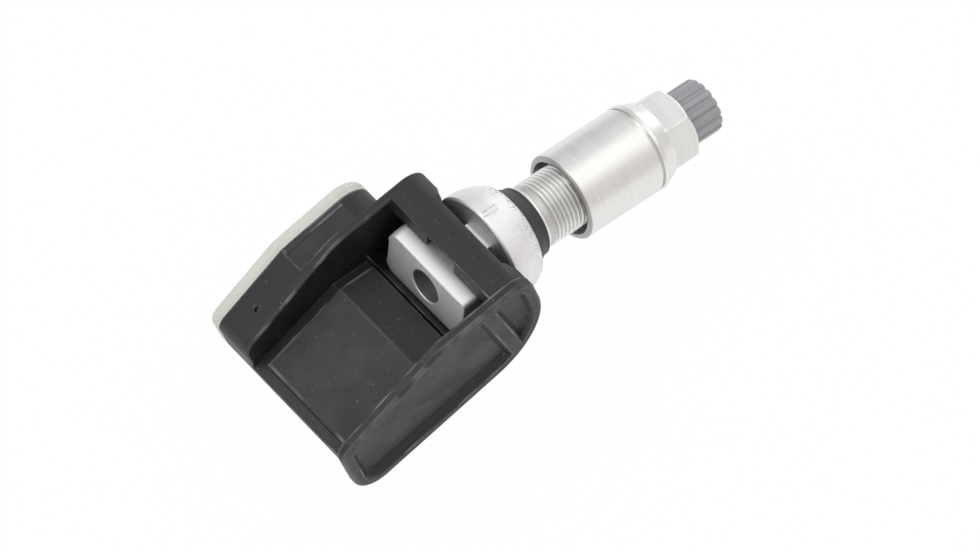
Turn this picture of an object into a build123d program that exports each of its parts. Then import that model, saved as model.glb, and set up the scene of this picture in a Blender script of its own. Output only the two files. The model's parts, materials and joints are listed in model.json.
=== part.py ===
from build123d import *
import math
import os

# Tyre pressure sensor with a clamp-in valve, in millimetres.
# X runs out along the valve, Y to the sensor's left and Z up, square to the valve.
# The origin is on the valve's axis, at the front face of the rim seal.
# Each piece is drawn about the pivot, the axis of the barrel nut, and moved at the end.

# Barrel nut, the cross nut that the housing turns on
barrel_radius = 4.95
barrel_flat_depth = 2.15
barrel_length = 17.3
barrel_end_round = 1.8
barrel_thread_radius = 2.85
thread_clearance = 0.05

# Housing on the valve
housing_tilt = 19.5
swing_down = 3.0
swing_up = 17.0
socket_clearance = 0.1
front_wall = 2.6
slot_clearance = 0.3
slot_height = 7.2

# Seat collar, a die-cast dome
collar_gap = 0.15
collar_sphere_radius = 9.35
collar_sphere_ahead = 1.1
collar_length = 6.4
collar_edge = 0.35
collar_rib_length = 2.7
collar_rib_width = 0.85
collar_rib_height = 0.15
collar_land_length = 1.5
collar_key_reach = 2.7
collar_key_width = 5.3
collar_key_height = 4.6
pocket_clearance = 0.4

# Rim seal
seal_length = 3.0
seal_base_radius = 6.95
seal_hub_radius = 5.75
seal_hub_length = 0.7
seal_edge = 0.25

# Valve stem
neck_setback = 1.0
collar_seat_radius = 4.0
stem_fit = 0.05
shank_radius = 5.35
shank_length = 1.6
shank_groove_depth = 0.3
shank_groove_length = 0.6
stem_thread_radius = 5.25
stem_thread_length = 18.8
stem_relief_depth = 0.45
stem_relief_length = 0.6
tip_radius = 3.85
tip_length = 13.2
tip_edge = 0.4
air_bore_radius = 1.4

# Valve core
core_recess = 2.0
core_head_radius = 2.6
core_head_length = 4.0
core_shank_radius = 1.9
core_shank_length = 7.4
core_bore_radius = 2.25
core_clearance = 0.03
core_chamber_radius = 1.35
core_end_wall = 0.8
core_pin_radius = 0.5
core_pin_guide = 0.25
core_pin_recess = 0.6
core_pin_travel = 1.2
core_cup_radius = 1.6
core_cup_length = 1.3
core_stop_radius = 1.05
core_stop_length = 0.5
core_ring_offset = 2.2
core_ring_length = 2.2
core_slot_width = 1.0
core_slot_depth = 1.4
spring_wire = 0.3
spring_turns = 4
spring_wire_sides = 4

# Sleeve nut
nut_gap = 6.7
nut_radius = 7.1
nut_length = 22.5
nut_sleeve_length = 14.2
nut_counterbore_radius = 6.15
nut_counterbore_depth = 5.5
nut_thread_clearance = 0.08
nut_thread_length = 11.6
nut_edge = 0.35
nut_groove_width = 0.35
nut_groove_depth = 0.35
nut_bead_width = 0.75
nut_bead_height = 0.08
nut_cone_radius = 6.25
hex_flats = 11.2
hex_length = 4.9
hex_turn = 30.0
hex_end_radius = 5.45
hex_chamfer_length = 1.5

# Valve cap
cap_radius = 4.45
cap_length = 12.1
cap_end_wall = 1.8
cap_thread_clearance = 0.1
cap_seal_thickness = 1.2
cap_seal_gap = 0.05
cap_rib_count = 16
cap_groove_radius = 0.42
cap_groove_depth = 0.3
cap_skirt_length = 1.2
cap_edge = 0.45
cap_bore_clearance = 0.3

# Housing side outline, measured from the pivot along and square to its base
base_drop = 11.6
rear_reach = 28.1
right_rear_reach = 28.9
front_reach = 9.2
left_front_top = 6.5
left_crest_top = 8.3
left_rear_top = 1.0
right_front_top = 7.3
right_crest_top = 8.9
right_rear_top = 3.4
crest_back = 8.3
rear_foot_round = 5.0
front_foot_round = 11.0
brow_round = 4.0
crest_round = 7.0
tail_round = 3.0

# Housing across the width
channel_half_width = 11.2
right_flange = 2.0
left_flange = 1.5
flange_edge = 0.7
block_width = 5.2
crossbar_back = 0.2
channel_headroom = 16.0
channel_edge = 0.45
channel_foot_back = 3.5
channel_foot_drop = 2.2

# Pad in the channel
pad_rear = 26.4
pad_rear_top = -2.9
pad_crease = 11.3
pad_crease_top = 0.5
pad_front = 5.2
pad_front_top = -1.3
pad_step = 1.8
pad_left_gap = 1.9
pad_right_gap = 1.7
pad_edge = 0.6

# Electronics block and its side cover
block_front = 1.9
block_front_top = 4.7
block_crease = 14.0
block_crease_top = 5.2
block_rear_top = 0.3
block_front_foot_round = 7.0
block_brow_round = 5.0
block_crease_round = 5.0
block_tail_round = 2.6
cover_thickness = 2.2
cover_edge = 0.9
panel_depth = 0.45
panel_fade = 1.6
panel_width = 3.2
panel_length = 11.0
panel_margin = 1.0
panel_rear_margin = 0.2
port_from_rear = 5.6
port_inset = 3.4
port_radius = 0.5
port_ring_radius = 0.8
port_ring_depth = 0.15

# Recesses in the right flange
recess_depth = 1.1
recess_slope = 35.0
recess_rim = 1.7
rib_ahead = 1.6
rib_lean = 6.0
rib_width = 2.2

# Cavity, battery and board
block_wall = 1.4
cavity_floor = 2.0
battery_radius = 10.0
battery_thickness = 3.2
battery_clearance = 0.2
battery_bottom_wall = 2.0
battery_right_wall = 2.2
battery_centre_back = 15.8
battery_edge = 0.3
tab_thickness = 0.2
tab_width = 4.0
tab_inset = 4.0
tab_foot = 2.0
board_thickness = 1.0
board_clearance = 0.35
board_post_height = 0.8
board_post_radius = 1.0
board_post_back = 4.0
board_post_from_rear = 3.7
board_post_levels = [-8.4, 1.4]
board_post_rear_level = -2.6

# Electronic pieces on the board
chip_size = 5.0
chip_height = 1.7
chip_from_rear = 7.6
chip_drop = 6.2
chip_hole_radius = 0.6
coil_length = 7.6
coil_width = 2.7
coil_height = 2.3
coil_flange = 0.8
coil_winding_inset = 0.35
coil_back = 7.0
coil_drop = 6.5
crystal_length = 3.2
crystal_width = 2.5
crystal_height = 0.8
crystal_drop = 7.0
capacitor_count = 5
capacitor_length = 1.0
capacitor_width = 0.6
capacitor_pitch = 1.6
capacitor_lead = 5.0
capacitor_drop = 1.8
antenna_strip = 0.6
antenna_rise = 1.6
antenna_from_rear = 3.1
antenna_span = 14.0
antenna_drop = 1.2
filter_radius = 1.4
filter_thickness = 0.4
filter_clearance = 0.05

# Stations along the valve, ahead of the pivot
socket_radius = barrel_radius + socket_clearance
pocket_floor = socket_radius + front_wall
collar_base = pocket_floor + collar_gap
collar_front = collar_base + collar_length
seal_front = collar_front + seal_length
stem_shoulder = seal_front + stem_thread_length
tip_end = stem_shoulder + tip_length
nut_mouth = seal_front + nut_gap
nut_end = nut_mouth + nut_length
nut_step = nut_mouth + nut_sleeve_length
hex_start = nut_end - hex_length
cap_end = tip_end + cap_seal_thickness + cap_end_wall
cap_mouth = cap_end - cap_length
core_head_end = tip_end - core_recess
core_head_start = core_head_end - core_head_length
core_shank_end = core_head_start - core_shank_length
core_cup_end = core_shank_end - core_cup_length - core_clearance
core_room_end = core_cup_end - core_pin_travel - core_clearance
core_stop = core_head_start - core_clearance - core_stop_length

# Distances across the housing
right_side = -channel_half_width - right_flange
left_flange_side = channel_half_width + left_flange
block_side = left_flange_side + block_width
cover_side = block_side + cover_thickness
cavity_side = channel_half_width + cavity_floor
board_side = cavity_side + board_post_height
board_top = board_side + board_thickness

# Distances behind the pivot
port_back = rear_reach - port_from_rear
chip_back = rear_reach - chip_from_rear
antenna_back = rear_reach - antenna_from_rear - antenna_span / 2
capacitor_back = antenna_back - antenna_span / 2 - capacitor_lead
crystal_back = (chip_back - chip_size / 2 + coil_back + coil_length / 2) / 2

# Heights in the housing
battery_base = -base_drop + battery_bottom_wall + tab_thickness
battery_top = battery_base + battery_thickness
neck_radius = barrel_thread_radius - thread_clearance

origin_shift = Pos(-seal_front, 0, 0)
housing_pose = Rot(0, -housing_tilt, 0)


def side_outline(points, radii):
    """Closed side outline from corner points, each with its own rounding."""
    return make_face(FilletPolyline(*points, radius=radii, close=True))


def across(outline, low, high):
    """Side outline made solid between two distances across the housing."""
    return extrude(Plane.XZ.offset(-high) * outline, amount=high - low)


def turned(points):
    """Body of revolution about the valve axis from (distance, radius) points."""
    return revolve(make_face(Polyline(*points, close=True)), axis=Axis.X)


def rod(radius, start, end):
    """Round bar on the valve axis between two stations."""
    return Pos(start, 0, 0) * Rot(0, 90, 0) * extrude(Circle(radius), amount=end - start)


def rotated_by_valve(distance, height):
    """Point of the valve's own X and Z seen along and square to the housing's base."""
    turn = math.radians(housing_tilt)
    along = distance * math.cos(turn) + height * math.sin(turn)
    square = height * math.cos(turn) - distance * math.sin(turn)
    return along, square


def flange_outline(reach, front_top, crest_top, rear_top):
    """Side outline of a flange, from its reach to the rear and the heights of its top line."""
    corners = [
        (-reach, -base_drop),
        (front_reach, -base_drop),
        (front_reach, front_top),
        (-crest_back, crest_top),
        (-reach, rear_top),
    ]
    radii = [rear_foot_round, front_foot_round, brow_round, crest_round, tail_round]
    return side_outline(corners, radii)


def block_outline():
    """Side outline of the electronics block and its cover."""
    corners = [
        (-rear_reach, -base_drop),
        (block_front, -base_drop),
        (block_front, block_front_top),
        (-block_crease, block_crease_top),
        (-rear_reach, block_rear_top),
    ]
    radii = [
        rear_foot_round,
        block_front_foot_round,
        block_brow_round,
        block_crease_round,
        block_tail_round,
    ]
    return side_outline(corners, radii)


def pad_slope():
    """Rise of the pad's rear part for each millimetre forward."""
    return (pad_crease_top - pad_rear_top) / (pad_rear - pad_crease)


def channel_outline():
    """Room between the flanges, above the ledge and behind the front wall."""
    past_rear = rear_reach + base_drop
    rear_floor = pad_rear_top - pad_step - pad_slope() * (past_rear - pad_rear)
    points = [
        rotated_by_valve(crossbar_back, channel_headroom),
        rotated_by_valve(crossbar_back, 0),
        rotated_by_valve(-channel_foot_back, -channel_foot_drop),
        (-pad_front, pad_front_top - pad_step),
        (-pad_crease, pad_crease_top - pad_step),
        (-past_rear, rear_floor),
        (-past_rear, channel_headroom),
    ]
    return make_face(Polyline(*points, close=True))


def raised_pad():
    """Pad on the channel's floor, with a crease and soft edges."""
    depth = pad_step + pad_edge
    points = [
        (-pad_rear, pad_rear_top),
        (-pad_crease, pad_crease_top),
        (-pad_front, pad_front_top),
        (-pad_front, pad_front_top - depth),
        (-pad_crease, pad_crease_top - depth),
        (-pad_rear, pad_rear_top - depth),
    ]
    outline = make_face(Polyline(*points, close=True))
    right = -channel_half_width + pad_right_gap
    left = channel_half_width - pad_left_gap
    pad = across(outline, right, left)
    top_faces = pad.faces().sort_by(Axis.Z)[-2:]
    rear_edge = pad.edges().filter_by(Axis.Y).sort_by(Axis.X)[:2].sort_by(Axis.Z)[-1]
    side_edges = [edge for face in top_faces for edge in face.edges()]
    side_edges = [edge for edge in side_edges if abs(edge.center().Y - right) < 1e-3 or
                  abs(edge.center().Y - left) < 1e-3]
    return fillet(side_edges + [rear_edge], pad_edge)


def stem_slot():
    """Slot through the front wall that lets the stem's neck swing."""
    half_width = neck_radius + slot_clearance
    low = -half_width - pocket_floor * math.tan(math.radians(swing_down))
    box = Box(front_reach + brow_round, 2 * half_width, slot_height - low,
              align=(Align.MIN, Align.CENTER, Align.MIN))
    return Rot(0, housing_tilt, 0) * Pos(0, 0, low) * box


def collar_pocket():
    """Round pocket in the front wall, swept through the housing's swing."""
    radius = collar_sphere_radius + pocket_clearance
    swings = [-swing_down, (swing_up - swing_down) / 2, swing_up]
    bores = [Rot(0, housing_tilt - swing, 0) * rod(radius, pocket_floor, pocket_floor + front_reach)
             for swing in swings]
    return bores[0] + bores[1] + bores[2]


def right_outline():
    """Side outline of the right flange."""
    return flange_outline(right_rear_reach, right_front_top, right_crest_top, right_rear_top)


def flange_recesses():
    """Two tapered recesses in the right flange, parted by a leaning rib."""
    rib = Pos(rib_ahead, 0) * Rot(0, 0, rib_lean) * Rectangle(rib_width, 2 * (right_crest_top + base_drop))
    rooms = offset(right_outline(), -recess_rim) - rib
    plane = Plane.XZ.offset(-right_side)
    cuts = [extrude(plane * face, amount=-recess_depth, taper=recess_slope) for face in rooms.faces()]
    return cuts[0] + cuts[1]


def rear_roof_outline(crease_top, rear_top, rounding):
    """Side outline of the rear roof, from the levels of its crease and rear edge."""
    corners = [
        (-rear_reach, rear_top - tail_round),
        (-block_crease, crease_top - tail_round),
        (-block_crease, crease_top),
        (-rear_reach, rear_top),
    ]
    return side_outline(corners, [0, 0, 0, rounding])


def flange_level(back):
    """Height of the left flange's rear top line at a distance behind the pivot."""
    slope = (left_crest_top - left_rear_top) / (rear_reach - crest_back)
    return left_crest_top - slope * (back - crest_back)


def rear_roof():
    """Rear roof of the block, rising from the cover to the left flange's top line."""
    inner = rear_roof_outline(flange_level(block_crease), left_rear_top, tail_round)
    outer = rear_roof_outline(block_crease_top, block_rear_top, block_tail_round)
    return loft([Plane.XZ.offset(-left_flange_side) * inner, Plane.XZ.offset(-block_side) * outer])


def port_place():
    """Place of the pressure port on the rear roof, with Z square to the roof."""
    slope = (block_crease_top - block_rear_top) / (rear_reach - block_crease)
    outer_level = block_rear_top + slope * port_from_rear
    rise = (flange_level(port_back) - outer_level) / block_width
    place = Pos(-port_back, block_side - port_inset, outer_level + rise * port_inset)
    return place * Rot(0, -math.degrees(math.atan(slope)), 0) * Rot(-math.degrees(math.atan(rise)), 0, 0)


def port_cut():
    """Pressure port: a hole through the roof, a ring round it and a seat for the filter."""
    below = (Align.CENTER, Align.CENTER, Align.MAX)
    hole = Cylinder(port_radius, 2 * block_wall, align=below)
    ring = Cylinder(port_ring_radius, 2 * port_ring_depth)
    seat_top = filter_thickness + filter_clearance - block_wall
    seat = Pos(0, 0, seat_top) * Cylinder(
        filter_radius + filter_clearance, filter_thickness + block_wall, align=below)
    return port_place() * (hole + ring + seat)


def roof_panel():
    """Shallow panel let into the front part of the block's roof, fading toward the front."""
    drop = math.degrees(math.atan((block_crease_top - block_front_top) / (block_crease + block_front)))
    panel = Box(panel_length, panel_width, 2 * panel_depth, align=(Align.MIN, Align.MAX, Align.CENTER))
    rear = -block_crease + panel_rear_margin
    return Pos(rear, block_side - panel_margin, block_crease_top) * Rot(0, drop - panel_fade, 0) * panel


def cavity():
    """Room for the board in the block and for the battery under the pad."""
    room = offset(block_outline(), -block_wall)
    board_room = across(room, cavity_side, block_side)
    cell = battery_radius + battery_clearance
    low = battery_base - tab_thickness
    high = battery_top + tab_thickness + battery_clearance
    slot = Pos(-battery_centre_back, battery_room_right(), low) * Box(
        2 * cell, cavity_side - battery_room_right() + block_wall / 2, high - low,
        align=(Align.CENTER, Align.MIN, Align.MIN))
    return board_room + slot


def battery_room_right():
    """Right end of the battery's room."""
    return right_side + battery_right_wall + recess_depth


def board_posts():
    """Posts on the cavity's floor that carry the board."""
    post = extrude(Circle(board_post_radius), amount=board_post_height)
    places = [(-board_post_back, level) for level in board_post_levels]
    places.append((board_post_from_rear - rear_reach, board_post_rear_level))
    return [Pos(x, cavity_side, z) * Rot(-90, 0, 0) * post for x, z in places]


def left_rim(body):
    """Top edges of the channel's left wall."""
    wall = body.faces().filter_by(Plane.XZ).filter_by_position(
        Axis.Y, channel_half_width - flange_edge, channel_half_width + flange_edge)
    edges = [edge for face in wall for edge in face.edges()]
    return [edge for edge in edges if edge.center().Z > 0 and edge.center().X < 0]


def housing():
    """Moulded housing: flanges, front wall, pad and electronics block."""
    left = flange_outline(rear_reach, left_front_top, left_crest_top, left_rear_top)
    flange = across(right_outline(), right_side, -channel_half_width)
    flange = fillet(flange.faces().sort_by(Axis.Y)[0].edges(), flange_edge)
    flange = fillet(flange.faces().sort_by(Axis.Y)[-1].edges(), channel_edge)
    body = flange + across(left, -channel_half_width - channel_edge, left_flange_side)
    body = body + across(block_outline(), channel_half_width, block_side)
    body = body + rear_roof()
    body = body - across(channel_outline(), -channel_half_width, channel_half_width)
    body = fillet(left_rim(body), channel_edge)
    body = body + raised_pad()
    body = body - across(Circle(socket_radius), -channel_half_width, channel_half_width)
    body = body - stem_slot()
    body = body - collar_pocket()
    body = body - flange_recesses()
    body = body - roof_panel()
    body = body - cavity()
    body = body - port_cut()
    for post in board_posts():
        body = body + post
    return body


def side_cover():
    """Pale cover plate on the block, with a rounded outer edge."""
    plate = across(block_outline(), block_side, cover_side)
    return fillet(plate.faces().sort_by(Axis.Y)[-1].edges(), cover_edge)


def barrel_nut():
    """Cross nut: a round bar with one flat, and a threaded hole."""
    bar = across(Circle(barrel_radius), -barrel_length / 2, barrel_length / 2)
    bar = fillet(bar.edges().filter_by(GeomType.CIRCLE), barrel_end_round)
    waste = Pos(-barrel_flat_depth, 0, 0) * Box(
        barrel_radius, barrel_length, 2 * barrel_radius, align=(Align.MAX, Align.CENTER, Align.CENTER))
    return bar - waste - rod(barrel_thread_radius, -barrel_radius, barrel_radius)


def valve_stem():
    """Turned stem: neck, collar seat, thread and valve tip, bored for the core."""
    seat_start = collar_base + collar_land_length
    shank_end = seal_front + shank_length
    relief = stem_thread_radius - stem_relief_depth
    outer = turned([
        (neck_setback, 0),
        (neck_setback, neck_radius),
        (seat_start, neck_radius),
        (seat_start, collar_seat_radius),
        (seal_front, collar_seat_radius),
        (seal_front, shank_radius),
        (shank_end, shank_radius),
        (shank_end, stem_thread_radius - shank_groove_depth),
        (shank_end + shank_groove_length - shank_groove_depth, stem_thread_radius - shank_groove_depth),
        (shank_end + shank_groove_length, stem_thread_radius),
        (stem_shoulder - stem_relief_length, stem_thread_radius),
        (stem_shoulder, relief),
        (stem_shoulder, tip_radius),
        (tip_end - tip_edge, tip_radius),
        (tip_end, tip_radius - tip_edge),
        (tip_end, 0),
    ])
    air_bore = rod(air_bore_radius, neck_setback, tip_end)
    core_bore = rod(core_bore_radius, core_room_end, tip_end)
    head_bore = rod(core_head_radius + core_clearance, core_head_start - core_clearance, tip_end)
    return outer - air_bore - core_bore - head_bore


def seat_collar():
    """Dome collar with a raised index rib."""
    centre = collar_base + collar_sphere_ahead
    skin_radius = collar_sphere_radius + collar_rib_height
    base_radius = math.sqrt(collar_sphere_radius ** 2 - collar_sphere_ahead ** 2)
    front_radius = math.sqrt(collar_sphere_radius ** 2 - (collar_length - collar_sphere_ahead) ** 2)
    base_rim = (collar_base, base_radius)
    front_rim = (collar_front, front_radius)
    sides = Polyline(front_rim, (collar_front, 0), (collar_base, 0), base_rim)
    crown = RadiusArc(base_rim, front_rim, collar_sphere_radius)
    dome = revolve(make_face(sides + crown), axis=Axis.X)
    rims = dome.edges().filter_by(GeomType.CIRCLE).group_by(Axis.X)
    dome = chamfer(rims[0] + rims[-1], collar_edge)
    upright = (Align.MIN, Align.CENTER, Align.MIN)
    rib_box = Box(collar_rib_length, collar_rib_width, 2 * skin_radius, align=upright)
    rib = Pos(collar_base + collar_edge, 0, 0) * rib_box & Pos(centre, 0, 0) * Sphere(skin_radius)
    key_box = Box(collar_key_reach + collar_land_length, collar_key_width, collar_key_height, align=upright)
    key = Pos(collar_base - collar_key_reach, 0, 0) * key_box
    seat_bore = rod(collar_seat_radius + stem_fit, collar_base + collar_land_length, collar_front)
    neck_bore = rod(neck_radius + stem_fit, collar_base - collar_key_reach, collar_front)
    return dome + rib + key - seat_bore - neck_bore


def seal_grommet():
    """Rubber cone on the collar's face, with a hub for the rim's hole."""
    bore = collar_seat_radius + stem_fit
    return turned([
        (collar_front, bore),
        (collar_front, seal_base_radius),
        (seal_front - seal_hub_length, seal_hub_radius),
        (seal_front - seal_edge, seal_hub_radius),
        (seal_front, seal_hub_radius - seal_edge),
        (seal_front, bore),
    ])


def valve_core_body():
    """Core's brass body: slotted head, hollow shank and end wall."""
    guide = core_pin_radius + core_pin_guide
    body = turned([
        (core_shank_end, guide),
        (core_shank_end, core_shank_radius),
        (core_head_start, core_shank_radius),
        (core_head_start, core_head_radius),
        (core_head_end, core_head_radius),
        (core_head_end, guide),
        (core_head_start, guide),
        (core_head_start, core_chamber_radius),
        (core_shank_end + core_end_wall, core_chamber_radius),
        (core_shank_end + core_end_wall, guide),
    ])
    slot = Pos(core_head_end, 0, 0) * Box(
        core_slot_depth, 2 * core_head_radius, core_slot_width,
        align=(Align.MAX, Align.CENTER, Align.CENTER))
    return body - slot


def core_seal_ring():
    """Tapered ring that seals the core in the stem."""
    start = core_shank_end + core_ring_offset
    end = start + core_ring_length
    inner = core_shank_radius + core_clearance
    outer = core_bore_radius - core_clearance
    return turned([(start, inner), (start, (inner + outer) / 2), (end, outer), (end, inner)])


def core_pin():
    """Valve pin with its sealing cup and the stop that the spring pushes."""
    cup_front = core_cup_end + core_cup_length
    pin_tip = tip_end - core_pin_recess
    return turned([
        (core_cup_end, 0),
        (core_cup_end, core_cup_radius),
        (cup_front, core_cup_radius),
        (cup_front, core_pin_radius),
        (core_stop, core_pin_radius),
        (core_stop, core_stop_radius),
        (core_stop + core_stop_length, core_stop_radius),
        (core_stop + core_stop_length, core_pin_radius),
        (pin_tip, core_pin_radius),
        (pin_tip, 0),
    ])


def core_spring():
    """Coil spring between the core's end wall and the pin's stop."""
    start = core_shank_end + core_end_wall + spring_wire / 2 + core_clearance
    end = core_stop - spring_wire / 2 - core_clearance
    mean = (core_stop_radius + core_pin_radius) / 2 + spring_wire / 2
    path = Helix(pitch=(end - start) / spring_turns, height=end - start, radius=mean)
    section = Plane(path @ 0, z_dir=path % 0) * RegularPolygon(spring_wire / 2, spring_wire_sides)
    return Pos(start, 0, 0) * Rot(0, 90, 0) * sweep(section, path=path)


def sleeve_nut():
    """Long nut: round sleeve, groove and bead, cone and hexagon."""
    thread_bore = stem_thread_radius + nut_thread_clearance
    outer = turned([
        (nut_mouth, 0),
        (nut_mouth, nut_radius - nut_edge),
        (nut_mouth + nut_edge, nut_radius),
        (nut_step, nut_radius),
        (nut_step, nut_radius - nut_groove_depth),
        (nut_step + nut_groove_width, nut_radius - nut_groove_depth),
        (nut_step + nut_groove_width, nut_radius + nut_bead_height),
        (nut_step + nut_groove_width + nut_bead_width, nut_radius + nut_bead_height),
        (hex_start, nut_cone_radius),
        (hex_start, 0),
    ])
    hexagon = RegularPolygon(hex_flats / 2, 6, major_radius=False)
    prism = Pos(hex_start - hex_chamfer_length, 0, 0) * Rot(hex_turn, 0, 0) * Rot(0, 90, 0) * extrude(
        hexagon, amount=nut_end - hex_start + hex_chamfer_length)
    dressing = turned([
        (hex_start - hex_chamfer_length, 0),
        (hex_start - hex_chamfer_length, nut_radius),
        (nut_end - hex_chamfer_length, nut_radius * hex_flats / (2 * hex_end_radius)),
        (nut_end, hex_end_radius),
        (nut_end, 0),
    ])
    counterbore = rod(nut_counterbore_radius, nut_mouth, nut_mouth + nut_counterbore_depth)
    thread = rod(thread_bore, nut_mouth, nut_mouth + nut_counterbore_depth + nut_thread_length)
    cap_bore = rod(cap_radius + cap_bore_clearance, nut_mouth, nut_end)
    return outer + (prism & dressing) - counterbore - thread - cap_bore


def valve_cap():
    """Ribbed cap, closed at its outer end."""
    bore = tip_radius + cap_thread_clearance
    body = turned([
        (cap_mouth, 0),
        (cap_mouth, cap_radius),
        (cap_end - cap_edge, cap_radius),
        (cap_end, cap_radius - cap_edge),
        (cap_end, 0),
    ])
    groove = Pos(0, 0, cap_radius + cap_groove_radius - cap_groove_depth) * rod(
        cap_groove_radius, cap_mouth + cap_skirt_length, cap_end)
    for index in range(cap_rib_count):
        body = body - Rot(360 / cap_rib_count * index, 0, 0) * groove
    return body - rod(bore, cap_mouth, cap_end - cap_end_wall)


def cap_seal():
    """Rubber washer between the cap's end and the valve tip."""
    start = tip_end + cap_seal_gap
    end = cap_end - cap_end_wall
    return rod(tip_radius, start, end) - rod(core_chamber_radius, start, end)


def circuit_board():
    """Board that follows the block's outline."""
    return across(offset(block_outline(), -block_wall - board_clearance), board_side, board_top)


def battery_cell():
    """Coin cell under the pad."""
    centre_across = battery_room_right() + battery_clearance + battery_radius
    cell = Pos(-battery_centre_back, centre_across, battery_base) * extrude(
        Circle(battery_radius), amount=battery_thickness)
    return chamfer(cell.edges().filter_by(GeomType.CIRCLE), battery_edge)


def battery_tab(height, along):
    """Welded strip from the cell to the board, with a foot against the board."""
    centre_across = battery_room_right() + battery_clearance + battery_radius
    reach = board_side - tab_thickness - centre_across
    strip = Pos(along, centre_across, height) * Box(
        tab_width, reach + tab_thickness, tab_thickness, align=(Align.CENTER, Align.MIN, Align.MIN))
    foot = Pos(along, board_side - tab_thickness, height) * Box(
        tab_width, tab_thickness, tab_foot, align=(Align.CENTER, Align.MIN, Align.MIN))
    return strip + foot


def on_board(back, drop, length, width, height):
    """Rectangular package that stands on the board's outer face."""
    package = Box(length, height, width, align=(Align.CENTER, Align.MIN, Align.CENTER))
    return Pos(-back, board_top, -drop) * package


def pressure_chip():
    """Pressure sensor package with its inlet hole."""
    package = on_board(chip_back, chip_drop, chip_size, chip_size, chip_height)
    hole = Pos(-chip_back, board_top + chip_height, -chip_drop) * Rot(90, 0, 0) * Cylinder(
        chip_hole_radius, chip_height)
    return package - hole


def wake_up_coil():
    """Ferrite bobbin with its winding, as one dipped coil."""
    winding = on_board(coil_back, coil_drop, coil_length, coil_width - 2 * coil_winding_inset,
                       coil_height - coil_winding_inset)
    ends = [on_board(coil_back + side * (coil_length - coil_flange) / 2, coil_drop, coil_flange, coil_width,
                     coil_height) for side in (-1, 1)]
    return winding + ends[0] + ends[1]


def crystal():
    """Metal crystal can."""
    can = on_board(crystal_back, crystal_drop, crystal_length, crystal_width, crystal_height)
    return fillet(can.edges().filter_by(Axis.Y), crystal_height / 2)


def capacitors():
    """Row of chip capacitors."""
    row = [on_board(capacitor_back + capacitor_pitch * index, capacitor_drop, capacitor_length,
                    capacitor_width, capacitor_width) for index in range(capacitor_count)]
    return Compound(children=row)


def antenna():
    """Bent strip antenna that stands on the board on two legs."""
    span = on_board(antenna_back, antenna_drop, antenna_span, antenna_strip, antenna_rise)
    gap = on_board(antenna_back, antenna_drop, antenna_span - 2 * antenna_strip, antenna_strip,
                   antenna_rise - antenna_strip)
    return span - gap


def port_filter():
    """Breathable disc under the pressure port."""
    disc = Cylinder(filter_radius, filter_thickness, align=(Align.CENTER, Align.CENTER, Align.MIN))
    return port_place() * Pos(0, 0, -block_wall) * disc


housing_pieces = {
    "housing": housing(),
    "side_cover": side_cover(),
    "circuit_board": circuit_board(),
    "battery_cell": battery_cell(),
    "battery_tab_positive": battery_tab(battery_top, tab_inset - battery_centre_back),
    "battery_tab_negative": battery_tab(battery_base - tab_thickness, -tab_inset - battery_centre_back),
    "pressure_chip": pressure_chip(),
    "port_filter": port_filter(),
    "wake_up_coil": wake_up_coil(),
    "crystal": crystal(),
    "capacitors": capacitors(),
    "antenna": antenna(),
}
valve_pieces = {
    "barrel_nut": barrel_nut(),
    "valve_stem": valve_stem(),
    "seat_collar": seat_collar(),
    "seal_grommet": seal_grommet(),
    "valve_core_body": valve_core_body(),
    "core_seal_ring": core_seal_ring(),
    "core_pin": core_pin(),
    "core_spring": core_spring(),
    "sleeve_nut": sleeve_nut(),
    "valve_cap": valve_cap(),
    "cap_seal": cap_seal(),
}

os.makedirs("parts", exist_ok=True)
for name, piece in housing_pieces.items():
    export_step(origin_shift * housing_pose * piece, f"parts/{name}.step")
for name, piece in valve_pieces.items():
    export_step(origin_shift * piece, f"parts/{name}.step")
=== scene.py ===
import json
import math

import bmesh
import bpy
from mathutils import Matrix, Vector
from mathutils.bvhtree import BVHTree

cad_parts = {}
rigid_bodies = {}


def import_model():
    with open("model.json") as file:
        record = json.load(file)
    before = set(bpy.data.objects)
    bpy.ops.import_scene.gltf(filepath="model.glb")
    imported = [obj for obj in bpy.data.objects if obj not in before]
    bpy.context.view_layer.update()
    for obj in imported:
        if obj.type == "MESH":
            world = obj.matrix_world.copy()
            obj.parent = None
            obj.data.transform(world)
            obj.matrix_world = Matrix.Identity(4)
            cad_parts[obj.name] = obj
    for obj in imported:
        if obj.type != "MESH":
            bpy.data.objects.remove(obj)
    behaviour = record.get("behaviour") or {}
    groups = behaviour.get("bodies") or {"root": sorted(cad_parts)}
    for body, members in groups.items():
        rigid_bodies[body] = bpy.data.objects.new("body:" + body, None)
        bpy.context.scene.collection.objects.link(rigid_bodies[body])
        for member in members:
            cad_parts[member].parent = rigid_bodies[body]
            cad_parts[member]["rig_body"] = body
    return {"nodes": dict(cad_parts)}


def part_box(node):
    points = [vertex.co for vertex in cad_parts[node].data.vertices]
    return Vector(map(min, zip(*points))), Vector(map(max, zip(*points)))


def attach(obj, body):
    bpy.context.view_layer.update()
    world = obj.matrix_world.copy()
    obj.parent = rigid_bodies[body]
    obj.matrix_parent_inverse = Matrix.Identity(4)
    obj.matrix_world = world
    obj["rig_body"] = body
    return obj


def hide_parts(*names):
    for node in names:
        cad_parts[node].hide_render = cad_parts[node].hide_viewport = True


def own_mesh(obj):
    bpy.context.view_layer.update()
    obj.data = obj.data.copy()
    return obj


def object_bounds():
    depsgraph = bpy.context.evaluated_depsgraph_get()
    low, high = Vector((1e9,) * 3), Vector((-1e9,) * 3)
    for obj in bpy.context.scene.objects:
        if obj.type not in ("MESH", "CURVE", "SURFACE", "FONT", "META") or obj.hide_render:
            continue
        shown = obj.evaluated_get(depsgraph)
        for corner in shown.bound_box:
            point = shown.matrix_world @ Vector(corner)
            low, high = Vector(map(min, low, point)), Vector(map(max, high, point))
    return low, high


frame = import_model()
cad_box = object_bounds()

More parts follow.
